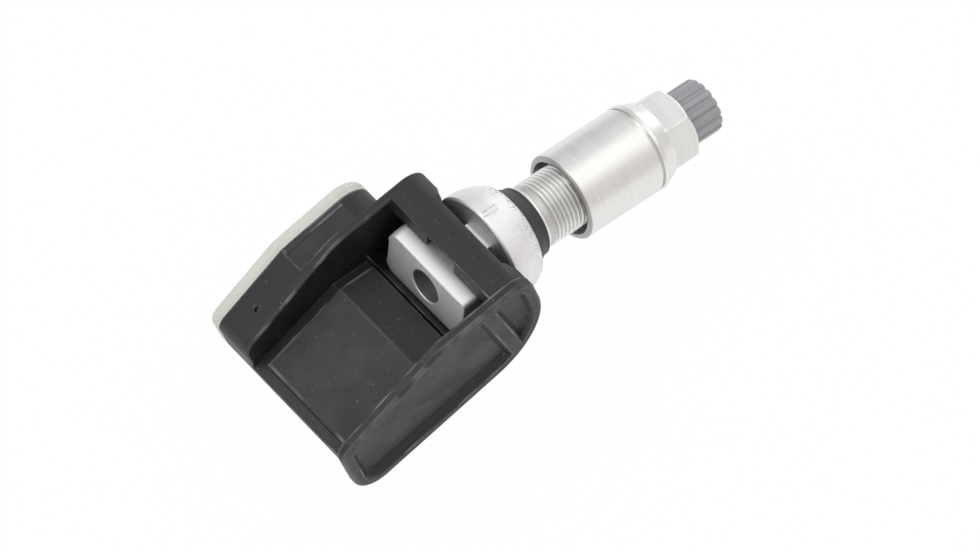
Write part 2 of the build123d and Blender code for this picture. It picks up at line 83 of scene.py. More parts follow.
bl_info = {
    "name": "Tyre pressure sensor",
    "version": (1, 0, 0),
    "blender": (4, 5, 0),
    "location": "View3D > Sidebar > Sensor",
    "description": "Dresses the tyre pressure sensor and sets it on a white studio stage",
    "category": "Object",
}

MM = 0.001
# An edge is sharp above the first angle, and between faces as broad as BROAD above the second
SHARP_ANGLE = math.radians(32)
FOLD_ANGLE = math.radians(14)
BROAD = 0.8 * MM
# Faces of a solid that meet at less than this are one flat face
FLAT_ANGLE = math.radians(0.4)
# Points closer than this are one
WELD = 0.001 * MM
FINE_WELD = 0.0001 * MM


def linear(colour):
    """Linear colour of an sRGB hex value."""
    parts = [int(colour[i:i + 2], 16) / 255 for i in (1, 3, 5)]
    return tuple(c / 12.92 if c <= 0.04045 else ((c + 0.055) / 1.055) ** 2.4 for c in parts)


def opaque(colour):
    """Colour with the alpha that a colour socket takes."""
    return (*colour[:3], 1.0)


# Sizes and colours that a user would change

class HousingSettings(bpy.types.PropertyGroup):
    edge: bpy.props.FloatProperty(
        name="Edge", description="Rounding left by the mould on edges that meet sharply",
        default=0.22 * MM, unit="LENGTH")
    nylon: bpy.props.FloatVectorProperty(
        name="Nylon", description="Colour of the glass-filled nylon",
        default=linear("#1F1B1F"), subtype="COLOR")
    cover: bpy.props.FloatVectorProperty(
        name="Cover", description="Colour of the undyed cover",
        default=linear("#CDD0C8"), subtype="COLOR")


class StemSettings(bpy.types.PropertyGroup):
    thread_pitch: bpy.props.FloatProperty(
        name="Thread pitch", description="Pitch of the thread that the sleeve nut runs on",
        default=0.75 * MM, unit="LENGTH")
    thread_depth: bpy.props.FloatProperty(
        name="Thread depth", description="Depth of that thread",
        default=0.4 * MM, unit="LENGTH")
    tip_pitch: bpy.props.FloatProperty(
        name="Tip pitch", description="Pitch of the thread under the cap",
        default=0.794 * MM, unit="LENGTH")
    tip_depth: bpy.props.FloatProperty(
        name="Tip depth", description="Depth of the thread under the cap",
        default=0.35 * MM, unit="LENGTH")
    metal: bpy.props.FloatVectorProperty(
        name="Metal", description="Colour of the turned aluminium",
        default=linear("#EFEFED"), subtype="COLOR")


class NutSettings(bpy.types.PropertyGroup):
    edge: bpy.props.FloatProperty(
        name="Edge", description="Rounding of the turned edges",
        default=0.12 * MM, unit="LENGTH")
    metal: bpy.props.FloatVectorProperty(
        name="Metal", description="Colour of the clear anodised aluminium",
        default=linear("#EBEBE9"), subtype="COLOR")


class CapSettings(bpy.types.PropertyGroup):
    ribs: bpy.props.IntProperty(
        name="Ribs", description="Grip ribs round the cap", default=16, min=3)
    plastic: bpy.props.FloatVectorProperty(
        name="Plastic", description="Colour of the moulded cap",
        default=linear("#949499"), subtype="COLOR")


class StageSettings(bpy.types.PropertyGroup):
    distance: bpy.props.FloatProperty(
        name="Distance", description="From the camera to the middle of the picture",
        default=1.5, unit="LENGTH")
    picture_width: bpy.props.FloatProperty(
        name="Picture width", description="Width of the picture at that distance",
        default=144.1 * MM, unit="LENGTH")
    floor_drop: bpy.props.FloatProperty(
        name="Floor drop", description="From the lowest point of the part to the floor",
        default=4 * MM, unit="LENGTH")


# Node and mesh helpers

def add(tree, kind, inputs=None, **settings):
    """One node with its settings; each input is linked if a socket is given, or else set."""
    node = tree.nodes.new(kind)
    for name, value in settings.items():
        setattr(node, name, value)
    for name, value in (inputs or {}).items():
        if isinstance(value, bpy.types.NodeSocket):
            tree.links.new(value, node.inputs[name])
        else:
            node.inputs[name].default_value = value
    return node


def begin(name):
    """Empty material with its tree, its shader and the object's own place in millimetres."""
    material = bpy.data.materials.new(name)
    material.use_nodes = True
    tree = material.node_tree
    tree.nodes.clear()
    shader = add(tree, "ShaderNodeBsdfPrincipled")
    add(tree, "ShaderNodeOutputMaterial", {"Surface": shader.outputs["BSDF"]})
    coordinates = add(tree, "ShaderNodeTexCoord")
    place = add(tree, "ShaderNodeVectorMath", {0: coordinates.outputs["Object"], 1: (1 / MM,) * 3},
                operation="MULTIPLY")
    return material, tree, shader, place.outputs["Vector"]


def rounded(corners, steps=4):
    """Closed outline from (x, radius, rounding) corners, each rounded by a short curve."""
    points = []
    count = len(corners)
    for index in range(count):
        before, corner, after = (Vector(corners[(index + k) % count][:2]) for k in (-1, 0, 1))
        size = corners[index][2]
        if size == 0:
            points.append(tuple(corner))
            continue
        start = corner + (before - corner).normalized() * size
        end = corner + (after - corner).normalized() * size
        for step in range(steps + 1):
            t = step / steps
            points.append(tuple((1 - t) ** 2 * start + 2 * t * (1 - t) * corner + t ** 2 * end))
    return points


def spread(start, end, spacing):
    """Evenly spaced places from start up to end, both included."""
    count = max(1, math.ceil(abs(end - start) / spacing))
    return [start + (end - start) * i / count for i in range(count + 1)]


def lathe(outline, steps, shape=None):
    """Mesh turned about X from a closed (x, radius) outline in millimetres.

    The angle runs from +Z toward -Y, and shape gives a radius its change by place and angle.
    """
    mesh = bmesh.new()
    rings = []
    for x, radius in outline:
        ring = []
        for step in range(steps):
            angle = 2 * math.pi * step / steps
            reach = shape(x, radius, angle) if shape else radius
            ring.append(mesh.verts.new(
                (x * MM, -reach * math.sin(angle) * MM, reach * math.cos(angle) * MM)))
        rings.append(ring)
    for index, ring in enumerate(rings):
        following = rings[(index + 1) % len(rings)]
        for step in range(steps):
            beside = (step + 1) % steps
            mesh.faces.new((ring[step], ring[beside], following[beside], following[step]))
    bmesh.ops.remove_doubles(mesh, verts=mesh.verts, dist=FINE_WELD)
    loose = [edge for edge in mesh.edges if not edge.link_faces]
    bmesh.ops.delete(mesh, geom=loose, context="EDGES")
    bmesh.ops.recalc_face_normals(mesh, faces=mesh.faces)
    return mesh


def softened(node, width, segments=2, reshape=None):
    """Copy of a solid's mesh, reshaped if asked, with the edges that meet sharply rounded off.

    A fold between two broad faces counts as sharp, and a step lower than the rounding stays as it is.
    A corner that the rounding throws off the solid, where two edges nearly line up, is set back on it.
    """
    mesh = bmesh.new()
    mesh.from_mesh(frame["nodes"][node].data)
    bmesh.ops.remove_doubles(mesh, verts=mesh.verts, dist=WELD)
    bmesh.ops.dissolve_limit(mesh, angle_limit=FLAT_ANGLE, verts=mesh.verts, edges=mesh.edges)
    if reshape:
        reshape(mesh)
    surface = BVHTree.FromBMesh(mesh)
    edges = []
    for edge in mesh.edges:
        length, angle = edge.calc_length(), edge.calc_face_angle(0)
        if len(edge.link_faces) != 2 or length <= width:
            continue
        breadth = min(face.calc_area() for face in edge.link_faces) / length
        if angle > SHARP_ANGLE and breadth > width or angle > FOLD_ANGLE and breadth > BROAD:
            edges.append(edge)
    bmesh.ops.bevel(mesh, geom=edges, offset=width, offset_type="OFFSET", segments=segments,
                    profile=0.5, affect="EDGES", clamp_overlap=False, miter_outer="ARC")
    for vert in mesh.verts:
        place, _, _, distance = surface.find_nearest(vert.co)
        if distance > width / 2:
            vert.co = place
    return mesh


def mark_wear_and_edge_highlight(mesh):
    """Gives each face its share of rubbing by hands and of painted edge highlight, the more the tighter it
    curves outward.
    """
    least_curve, most_curve, least_area = 0.5 / MM, 2.2 / MM, 1e-12
    layer = mesh.faces.layers.float.new("wear_and_edge_highlight")
    for face in mesh.faces:
        turn = sum(edge.calc_length() * max(0, edge.calc_face_angle_signed(0)) for edge in face.edges)
        curve = turn / (2 * max(face.calc_area(), least_area))
        face[layer] = min(1, max(0, (curve - least_curve) / (most_curve - least_curve)))


def mark_painted_shade(mesh, test):
    """Marks the faces that pass a test, such as the wall of a bore, for a painted shade of their own."""
    layer = mesh.faces.layers.float.new("inside")
    for face in mesh.faces:
        face[layer] = float(test(face))


def make_piece(name, mesh, node, material):
    """Object from a mesh that stands for a node, rides on its body and takes its slot."""
    data = bpy.data.meshes.new(name)
    for face in mesh.faces:
        face.smooth = True
    mesh.to_mesh(data)
    mesh.free()
    data.set_sharp_from_angle(angle=SHARP_ANGLE)
    data.materials.append(material)
    piece = bpy.data.objects.new(name, data)
    bpy.context.scene.collection.objects.link(piece)
    modifier = piece.modifiers.new("Flat faces stay flat", "WEIGHTED_NORMAL")
    modifier.keep_sharp = True
    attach(piece, frame["nodes"][node]["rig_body"])
    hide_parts(node)
    return piece


def dress(node, material):
    """Gives a carried-over node its finish."""
    data = frame["nodes"][node].data
    data.materials.clear()
    data.materials.append(material)


def soft_least(a, b, blend):
    """Smaller of two sizes, with a rounded change from one to the other."""
    return 0.5 * (a + b - math.sqrt((a - b) ** 2 + blend ** 2))


def soft_most(a, b, blend):
    """Larger of two sizes, with a rounded change from one to the other."""
    return 0.5 * (a + b + math.sqrt((a - b) ** 2 + blend ** 2))


# Materials

def moulded_nylon(colour):
    """Glass-filled nylon, moulded: dark satin, a fine spark grain, dust, and edges rubbed pale with a
    painted highlight.
    """
    material, tree, shader, place = begin("moulded_glass_filled_nylon")
    flow_marks_mm, grain_mm, dust_mm = 5.0, 0.35, 0.6
    dark, pale, clean_share = 0.82, 1.22, 0.38
    flow = add(tree, "ShaderNodeTexNoise", {"Vector": place, "Scale": 1 / flow_marks_mm, "Detail": 3.0})
    tint = add(tree, "ShaderNodeMix", {
        "Factor": flow.outputs["Fac"],
        6: opaque([c * dark for c in colour]), 7: opaque([c * pale for c in colour])}, data_type="RGBA")
    cells = add(tree, "ShaderNodeTexVoronoi", {"Vector": place, "Scale": 1 / dust_mm})
    chance = add(tree, "ShaderNodeSeparateColor", {"Color": cells.outputs["Color"]})
    lone = add(tree, "ShaderNodeMath", {
        0: chance.outputs["Red"], 1: clean_share}, operation="GREATER_THAN")
    size = add(tree, "ShaderNodeMapRange", {
        "Value": chance.outputs["Green"], "To Min": 0.045, "To Max": 0.14})
    speck = add(tree, "ShaderNodeMath", {
        0: cells.outputs["Distance"], 1: size.outputs["Result"]}, operation="LESS_THAN")
    faint = add(tree, "ShaderNodeMath", {
        0: speck.outputs[0], 1: chance.outputs["Blue"]}, operation="MULTIPLY")
    dust = add(tree, "ShaderNodeMath", {0: lone.outputs[0], 1: faint.outputs[0]}, operation="MULTIPLY")
    dusty = add(tree, "ShaderNodeMix", {
        "Factor": dust.outputs[0], 6: tint.outputs[2], 7: opaque(linear("#8E8C8B"))}, data_type="RGBA")
    # Edges that curve outward are mixed toward a pale grey: partly rubbed wear, partly a painted edge
    # highlight
    rubbed_and_highlit = add(tree, "ShaderNodeAttribute", attribute_name="wear_and_edge_highlight", attribute_type="GEOMETRY")
    patches = add(tree, "ShaderNodeMapRange", {
        "Value": flow.outputs["Fac"], "From Min": 0.42, "From Max": 0.62, "To Min": 0.12, "To Max": 1.0})
    wear_and_edge_highlight = add(tree, "ShaderNodeMath", {
        0: rubbed_and_highlit.outputs["Fac"], 1: patches.outputs["Result"]}, operation="MULTIPLY")
    worn_and_highlit = add(tree, "ShaderNodeMix", {
        "Factor": wear_and_edge_highlight.outputs[0], 6: dusty.outputs[2], 7: opaque(linear("#747276"))}, data_type="RGBA")
    tree.links.new(worn_and_highlit.outputs[2], shader.inputs["Base Color"])
    grain = add(tree, "ShaderNodeTexNoise", {"Vector": place, "Scale": 1 / grain_mm, "Detail": 2.0})
    rough = add(tree, "ShaderNodeMapRange", {
        "Value": flow.outputs["Fac"], "From Min": 0.3, "From Max": 0.7, "To Min": 0.43, "To Max": 0.57})
    tree.links.new(rough.outputs["Result"], shader.inputs["Roughness"])
    bump = add(tree, "ShaderNodeBump", {
        "Height": grain.outputs["Fac"], "Strength": 0.45, "Distance": 0.06 * MM})
    tree.links.new(bump.outputs["Normal"], shader.inputs["Normal"])
    shader.inputs["IOR"].default_value = 1.5
    return material


def undyed_nylon(colour):
    """Undyed nylon, moulded: pale grey with a green cast, satin, slightly cloudy."""
    material, tree, shader, place = begin("moulded_undyed_nylon")
    cloud_mm, grain_mm, dark, pale = 6.0, 0.4, 0.9, 1.08
    cloud = add(tree, "ShaderNodeTexNoise", {"Vector": place, "Scale": 1 / cloud_mm, "Detail": 4.0})
    tint = add(tree, "ShaderNodeMix", {
        "Factor": cloud.outputs["Fac"],
        6: opaque([c * dark for c in colour]), 7: opaque([c * pale for c in colour])}, data_type="RGBA")
    tree.links.new(tint.outputs[2], shader.inputs["Base Color"])
    grain = add(tree, "ShaderNodeTexNoise", {"Vector": place, "Scale": 1 / grain_mm, "Detail": 2.0})
    bump = add(tree, "ShaderNodeBump", {
        "Height": grain.outputs["Fac"], "Strength": 0.15, "Distance": 0.04 * MM})
    tree.links.new(bump.outputs["Normal"], shader.inputs["Normal"])
    shader.inputs["Roughness"].default_value = 0.42
    shader.inputs["IOR"].default_value = 1.53
    shader.inputs["Subsurface Weight"].default_value = 0.3
    shader.inputs["Subsurface Radius"].default_value = (1.0, 1.0, 0.9)
    shader.inputs["Subsurface Scale"].default_value = 1.2 * MM
    return material


def lined_metal(name, colour, roughness, line_mm, stretch, depth_mm=0.004, inside=None, metallic=1.0):
    """Machined metal: fine lines left by the tool, drawn wide enough to show.

    stretch squeezes the pattern along each axis, so the lines run along the axis with the small one.
    inside is the colour of the faces marked so, a painted shade darker than the metal.
    """
    material, tree, shader, place = begin(name)
    dark, pale, spread_of_shine = 0.9, 1.06, 0.05
    lines_place = add(tree, "ShaderNodeVectorMath", {0: place, 1: stretch}, operation="MULTIPLY")
    lines = add(tree, "ShaderNodeTexNoise", {
        "Vector": lines_place.outputs["Vector"], "Scale": 1 / line_mm, "Detail": 3.0})
    tint = add(tree, "ShaderNodeMix", {
        "Factor": lines.outputs["Fac"],
        6: opaque([c * dark for c in colour]), 7: opaque([min(1, c * pale) for c in colour])},
        data_type="RGBA")
    # Marked faces take a darker colour: painted shade in bores, grooves and the nut's mouth
    if inside:
        marked = add(tree, "ShaderNodeAttribute", attribute_name="inside", attribute_type="GEOMETRY")
        tint = add(tree, "ShaderNodeMix", {
            "Factor": marked.outputs["Fac"], 6: tint.outputs[2], 7: opaque(linear(inside))},
            data_type="RGBA")
    tree.links.new(tint.outputs[2], shader.inputs["Base Color"])
    rough = add(tree, "ShaderNodeMapRange", {
        "Value": lines.outputs["Fac"], "From Min": 0.3, "From Max": 0.7,
        "To Min": roughness - spread_of_shine, "To Max": roughness + spread_of_shine})
    tree.links.new(rough.outputs["Result"], shader.inputs["Roughness"])
    bump = add(tree, "ShaderNodeBump", {
        "Height": lines.outputs["Fac"], "Strength": 0.3, "Distance": depth_mm * MM})
    tree.links.new(bump.outputs["Normal"], shader.inputs["Normal"])
    shader.inputs["Metallic"].default_value = metallic
    return material


def cast_zinc(pit_start, pit_end):
    """Die-cast zinc, tumbled: bright grey, uneven skin, dark pores toward the front edge."""
    material, tree, shader, place = begin("tumbled_die_cast_zinc")
    skin_mm, pore_mm, patch_mm = 0.9, 0.36, 20 / 9
    skin = add(tree, "ShaderNodeTexNoise", {"Vector": place, "Scale": 1 / skin_mm, "Detail": 5.0})
    pores = add(tree, "ShaderNodeTexVoronoi", {"Vector": place, "Scale": 1 / pore_mm})
    along = add(tree, "ShaderNodeSeparateXYZ", {"Vector": place})
    toward_front = add(tree, "ShaderNodeMapRange", {
        "Value": along.outputs["X"], "From Min": pit_start, "From Max": pit_end,
        "To Min": 0.1, "To Max": 0.75})
    patch = add(tree, "ShaderNodeTexNoise", {"Vector": place, "Scale": 1 / patch_mm, "Detail": 2.0})
    share = add(tree, "ShaderNodeMath", {
        0: toward_front.outputs["Result"], 1: patch.outputs["Fac"]}, operation="MULTIPLY")
    pit = add(tree, "ShaderNodeMath", {0: share.outputs[0], 1: pores.outputs["Distance"]},
              operation="GREATER_THAN")
    tint = add(tree, "ShaderNodeMix", {
        "Factor": skin.outputs["Fac"],
        6: opaque(linear("#E4E4E6")), 7: opaque(linear("#F5F5F6"))}, data_type="RGBA")
    pitted = add(tree, "ShaderNodeMix", {
        "Factor": pit.outputs[0], 6: tint.outputs[2], 7: opaque(linear("#ABAAAB"))}, data_type="RGBA")
    tree.links.new(pitted.outputs[2], shader.inputs["Base Color"])
    bump = add(tree, "ShaderNodeBump", {
        "Height": skin.outputs["Fac"], "Strength": 0.3, "Distance": 0.08 * MM})
    dents = add(tree, "ShaderNodeBump", {
        "Height": pit.outputs[0], "Strength": 0.6, "Distance": 0.05 * MM, "Normal": bump.outputs["Normal"]},
        invert=True)
    tree.links.new(dents.outputs["Normal"], shader.inputs["Normal"])
    shader.inputs["Metallic"].default_value = 1.0
    shader.inputs["Roughness"].default_value = 0.52
    return material


def moulded(name, colour, roughness, grain_mm, depth_mm, ior=1.5):
    """Moulded plastic, rubber or ceramic: one colour with a slight cloud and a fine grain."""
    material, tree, shader, place = begin(name)
    dark, pale = 0.88, 1.12
    grain = add(tree, "ShaderNodeTexNoise", {"Vector": place, "Scale": 1 / grain_mm, "Detail": 3.0})
    tint = add(tree, "ShaderNodeMix", {
        "Factor": grain.outputs["Fac"],
        6: opaque([c * dark for c in colour]), 7: opaque([min(1, c * pale) for c in colour])},
        data_type="RGBA")
    tree.links.new(tint.outputs[2], shader.inputs["Base Color"])
    bump = add(tree, "ShaderNodeBump", {
        "Height": grain.outputs["Fac"], "Strength": 0.3, "Distance": depth_mm * MM})
    tree.links.new(bump.outputs["Normal"], shader.inputs["Normal"])
    shader.inputs["Roughness"].default_value = roughness
    shader.inputs["IOR"].default_value = ior
    return material


def white_floor():
    """White paper sweep: white to the eye and in the metals, with the part's shadow kept."""
    material, tree, shader, _ = begin("white_paper")
    glow_share = 0.985
    shader.inputs["Base Color"].default_value = opaque(linear("#F4F4F3"))
    shader.inputs["Roughness"].default_value = 0.9
    path = add(tree, "ShaderNodeLightPath")
    seen = add(tree, "ShaderNodeMath", {
        0: path.outputs["Is Camera Ray"], 1: path.outputs["Is Glossy Ray"]}, operation="MAXIMUM")
    seen = add(tree, "ShaderNodeMath", {
        0: seen.outputs[0], 1: path.outputs["Is Transmission Ray"]}, operation="MAXIMUM")
    share = add(tree, "ShaderNodeMath", {0: seen.outputs[0], 1: glow_share}, operation="MULTIPLY")
    glow = add(tree, "ShaderNodeEmission", {"Color": (1, 1, 1, 1), "Strength": 1.0})
    mixed = add(tree, "ShaderNodeMixShader", {
        0: share.outputs[0], 1: shader.outputs["BSDF"], 2: glow.outputs["Emission"]})
    output = next(node for node in tree.nodes if node.type == "OUTPUT_MATERIAL")
    tree.links.new(mixed.outputs["Shader"], output.inputs["Surface"])
    return material


# Pieces

class SENSOR_OT_housing(bpy.types.Operator):
    """Moulded housing with its edges rounded"""
    bl_idname = "sensor.housing"
    bl_label = "Housing"

    def execute(self, context):
        settings = context.scene.sensor_housing
        # The rear step of the roof's shallow panel, from its foot to its brow, fades out
        panel_foot, panel_brow = Vector((-21.41, 0, 3.51)) * MM, Vector((-21.46, 0, 3.63)) * MM
        near, weld = 0.03 * MM, 0.01 * MM

        def fade_panel(mesh):
            for vert in mesh.verts:
                across = Vector((0, vert.co.y, 0))
                if (vert.co - across - panel_foot).length < near and vert.co.y > 0:
                    vert.co = panel_brow + across
            bmesh.ops.remove_doubles(mesh, verts=mesh.verts, dist=weld)

        moulding = softened("housing", settings.edge, reshape=fade_panel)
        mark_wear_and_edge_highlight(moulding)
        make_piece("housing_moulding", moulding, "housing", moulded_nylon(settings.nylon))
        return {"FINISHED"}


class SENSOR_OT_cover(bpy.types.Operator):
    """Pale side cover"""
    bl_idname = "sensor.cover"
    bl_label = "Side cover"

    def execute(self, context):
        settings = context.scene.sensor_housing
        lip_start, lip_middle, lip_end, lip_depth = (size * MM for size in (0.3, 0.45, 0.6, 0.15))
        edge, near = 0.12 * MM, 0.01 * MM
        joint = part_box("side_cover")[0].y
        plate = softened("side_cover", edge)
        # A shallow line round the plate, which leaves a lip beside the joint
        for place in (lip_start, lip_middle, lip_end):
            bmesh.ops.bisect_plane(plate, geom=plate.verts[:] + plate.edges[:] + plate.faces[:],
                                   plane_co=(0, joint + place, 0), plane_no=(0, 1, 0))
        plate.normal_update()
        for vert in plate.verts:
            if abs(vert.co.y - joint - lip_middle) < near:
                vert.co -= lip_depth * Vector((vert.normal.x, 0, vert.normal.z)).normalized()
        make_piece("side_cover_moulding", plate, "side_cover", undyed_nylon(settings.cover))
        return {"FINISHED"}


class SENSOR_OT_barrel(bpy.types.Operator):
    """Cross nut in the housing's socket"""
    bl_idname = "sensor.barrel"
    bl_label = "Barrel nut"

    def execute(self, context):
        low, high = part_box("barrel_nut")
        radius, axis, flat = high.z, high.x - high.z, high.x - high.z - low.x
        edge, bore, along_bore = 0.3 * MM, 2.9 * MM, 0.3
        rounding, share = 1.8 * MM, 0.5

        # The solid's rounding of the right end is brought down to a share of it
        def tighten_right_end(mesh):
            for vert in mesh.verts:
                from_end = vert.co.y - low.y
                if from_end > rounding:
                    continue
                ahead, above = vert.co.x - axis, vert.co.z
                reach = math.hypot(ahead, above)
                new_reach = radius - (radius - reach) * share
                turn = math.acos(-flat / new_reach) / math.acos(-flat / reach)
                angle = math.atan2(above, ahead) * turn
                vert.co = (axis + new_reach * math.cos(angle),
                           low.y + from_end * share, new_reach * math.sin(angle))

        bar = softened("barrel_nut", edge, segments=4, reshape=tighten_right_end)
        # The bore's wall is painted darker (#858587): a painted shade inside the hole
        mark_painted_shade(bar, lambda face: abs(face.normal.x) < along_bore
                    and math.hypot(*face.calc_center_median().yz) < bore)
        steel = lined_metal("turned_zinc_plated_steel", linear("#E8E8EA"), roughness=0.6, line_mm=0.35,
                            stretch=(0.06, 1.0, 0.06), inside="#858587", metallic=0.85)
        make_piece("barrel_nut_turning", bar, "barrel_nut", steel)
        return {"FINISHED"}


class SENSOR_OT_collar(bpy.types.Operator):
    """Die-cast dome collar and its rim seal"""
    bl_idname = "sensor.collar"
    bl_label = "Collar and seal"

    def execute(self, context):
        low, high = (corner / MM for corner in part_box("seat_collar"))
        dome_centre, dome_radius, rib_height = Vector((low.x + 3.8, 0, 0)), 9.35, 0.36
        rib_foot, room, edge, pitted_length = 0.1, 0.03, 0.12 * MM, 3.4

        # The locating rib steps up sharply, and stays a little inside the solid's height
        def raise_rib(mesh):
            for vert in mesh.verts:
                out = vert.co / MM - dome_centre
                if out.length > dome_radius + rib_foot:
                    vert.co = (dome_centre + (dome_radius + rib_height) * out.normalized()) * MM
                    vert.co.z = min(vert.co.z, (high.z - room) * MM)

        casting = softened("seat_collar", edge, segments=3, reshape=raise_rib)
        make_piece("seat_collar_casting", casting, "seat_collar",
                   cast_zinc(high.x - pitted_length, high.x))
        low, high = (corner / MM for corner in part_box("seal_grommet"))
        bore, hub, hub_length = 4.05, 5.75, 0.7
        outline = rounded([
            (low.x, bore, 0), (low.x, high.z, 0.3), (high.x - hub_length, hub, 0.25), (high.x, hub, 0.22),
            (high.x, bore, 0)])
        rubber = moulded("moulded_rubber", linear("#323133"), roughness=0.5, grain_mm=0.5, depth_mm=0.04)
        make_piece("rim_seal_moulding", lathe(outline, steps=128), "seal_grommet", rubber)
        return {"FINISHED"}


class SENSOR_OT_stem(bpy.types.Operator):
    """Turned valve stem with its two threads"""
    bl_idname = "sensor.stem"
    bl_label = "Valve stem"

    def execute(self, context):
        settings = context.scene.sensor_stem
        low, high = (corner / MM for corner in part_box("valve_stem"))
        collar_back, key_reach, land_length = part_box("seat_collar")[0].x / MM, 2.7, 1.5
        neck, seat, shank, shank_length = 2.8, 4.0, high.z, 1.6
        land = collar_back + key_reach + land_length
        ring, ring_slope, waist = 0.5, 0.2, 5.08
        thread, thread_end, shoulder, shoulder_drop = 5.25, 18.2, 18.8, 0.45
        tip, tip_edge, mouth, mouth_depth = 3.85, 0.4, 2.63, 6.03
        air_bore, core_bore, core_bore_start = 1.4, 2.25, 16.04
        turn_steps, groove_share, waist_skin, thread_gap = 12, 0.55, 0.05, 0.1
        pitch, depth = settings.thread_pitch / MM, settings.thread_depth / MM
        tip_pitch, tip_depth = settings.tip_pitch / MM, settings.tip_depth / MM
        thread_start = shank_length + thread_gap
        tip_start = shoulder + tip_pitch

        def cut(x, radius, angle):
            if thread_start < x < thread_end and radius == thread:
                turn, size, start, end = pitch, depth, thread_start, thread_end
            elif tip_start < x < high.x - tip_edge and radius == tip:
                turn, size, start, end = tip_pitch, tip_depth, tip_start, high.x - tip_edge
            else:
                return radius
            wave = 0.5 - 0.5 * math.cos(2 * math.pi * x / turn - angle)
            # It runs in over a third of a turn and out over a whole one
            ease = min(1, 3 * (x - start) / turn, (end - x) / turn)
            return radius - size * ease * wave

        outline = rounded([
            (low.x, air_bore, 0), (low.x, neck, 0.2), (land, neck, 0), (land, seat, 0), (0, seat, 0),
            (0, shank, 0.15), (ring, shank, 0.1), (ring + ring_slope, waist, 0.1),
            (shank_length, waist, 0)])
        outline += [(x, thread) for x in spread(thread_start, thread_end, pitch / turn_steps)]
        outline += [(shoulder, thread - shoulder_drop), (shoulder, tip)]
        outline += [(x, tip) for x in spread(tip_start, high.x - tip_edge, tip_pitch / turn_steps)]
        outline += [(high.x, tip - tip_edge), (high.x, mouth), (high.x - mouth_depth, mouth),
                    (high.x - mouth_depth, core_bore), (core_bore_start, core_bore),
                    (core_bore_start, air_bore)]
        turning = lathe(outline, steps=120, shape=cut)

        # The groove bottoms of both threads and the waist's groove are painted darker (#CBCBC9): a painted
        # shade
        def in_groove(face):
            middle = face.calc_center_median() / MM
            reach = math.hypot(middle.y, middle.z)
            if ring < middle.x < thread_end:
                return reach < (thread - groove_share * depth if middle.x > thread_start
                                else waist + waist_skin)
            return tip_start < middle.x and mouth < reach < tip - groove_share * tip_depth

        mark_painted_shade(turning, in_groove)
        metal = lined_metal("turned_aluminium", settings.metal, roughness=0.42, line_mm=1.5,
                            stretch=(1.0, 0.1, 0.1), depth_mm=0.001, inside="#CBCBC9")
        make_piece("valve_stem_turning", turning, "valve_stem", metal)
        return {"FINISHED"}


class SENSOR_OT_nut(bpy.types.Operator):
    """Long sleeve nut with a groove, a bead, a cone and a hexagon"""
    bl_idname = "sensor.nut"
    bl_label = "Sleeve nut"

    def execute(self, context):
        settings, stem = context.scene.sensor_nut, context.scene.sensor_stem
        pitch, depth = stem.thread_pitch / MM, stem.thread_depth / MM
        edge = settings.edge / MM
        low, high = (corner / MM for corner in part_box("sleeve_nut"))
        bead, bead_height, mouth_edge = high.y, 0.08, 0.35
        sleeve = bead - bead_height
        sleeve_end, groove, bead_width = low.x + 14.15, 0.45, 0.7
        groove_end = sleeve_end + groove
        bead_end = groove_end + bead_width
        hex_start, cone_end, step = high.x - 4.9, 6.25, 0.1
        half_flats, corner_radius, end_radius, end_slope = 5.6, 6.45, 5.45, 1.23
        corner_blend, end_blend, cone_blend = 0.02, 0.1, 0.06
        counterbore, counterbore_end, counterbore_edge = 6.15, low.x + 5.5, 0.15
        bore, bore_end, cap_bore, turn_steps = 5.33, low.x + 17.1, 4.75, 8
        sixth = math.pi / 3

        def hexagon(x, radius, angle):
            if radius == bore and counterbore_end < x < bore_end:
                wave = abs(2 * ((x / pitch - angle / (2 * math.pi)) % 1) - 1)
                ease = min(1, (x - counterbore_end) / pitch, (bore_end - x) / pitch)
                return radius + depth * ease * wave
            if x <= bead_end or radius < end_radius - edge:
                return radius
            part = (angle % sixth) - sixth * round((angle % sixth) / sixth)
            flat = half_flats / math.cos(part)
            dressed = end_radius + (high.x - x) * end_slope
            reach = soft_least(soft_least(flat, corner_radius, corner_blend), dressed, end_blend)
            return reach if x > hex_start else soft_most(radius, reach, cone_blend)

        outline = rounded([
            (low.x, counterbore, counterbore_edge), (low.x, sleeve - mouth_edge, edge),
            (low.x + mouth_edge, sleeve, edge), (sleeve_end, sleeve, edge),
            (sleeve_end, sleeve - groove, 0), (groove_end, sleeve - groove, 0),
            (groove_end, bead, edge), (bead_end, bead, edge)])[:-1]
        cone = (bead - cone_end) / (hex_start - bead_end)
        outline += [(x, bead - cone * (x - bead_end)) for x in spread(bead_end + edge, hex_start, step)]
        outline += [(x, cone_end) for x in spread(hex_start + step, high.x, step)]
        outline += [(high.x, cap_bore), (bore_end, cap_bore)]
        outline += [(x, bore) for x in spread(bore_end, counterbore_end, pitch / turn_steps)]
        outline += [(counterbore_end, counterbore)]
        turning = lathe(outline, steps=192, shape=hexagon)
        # The mouth's end face and chamfer are painted darker (#ACACAA): a painted shade in their reflection
        mark_painted_shade(turning, lambda face: face.calc_center_median().x < (low.x + mouth_edge) * MM)
        metal = lined_metal("clear_anodised_aluminium", settings.metal, roughness=0.36, line_mm=0.5,
                            stretch=(1.0, 0.04, 0.04), depth_mm=0.002, inside="#ACACAA")
        make_piece("sleeve_nut_turning", turning, "sleeve_nut", metal)
        return {"FINISHED"}


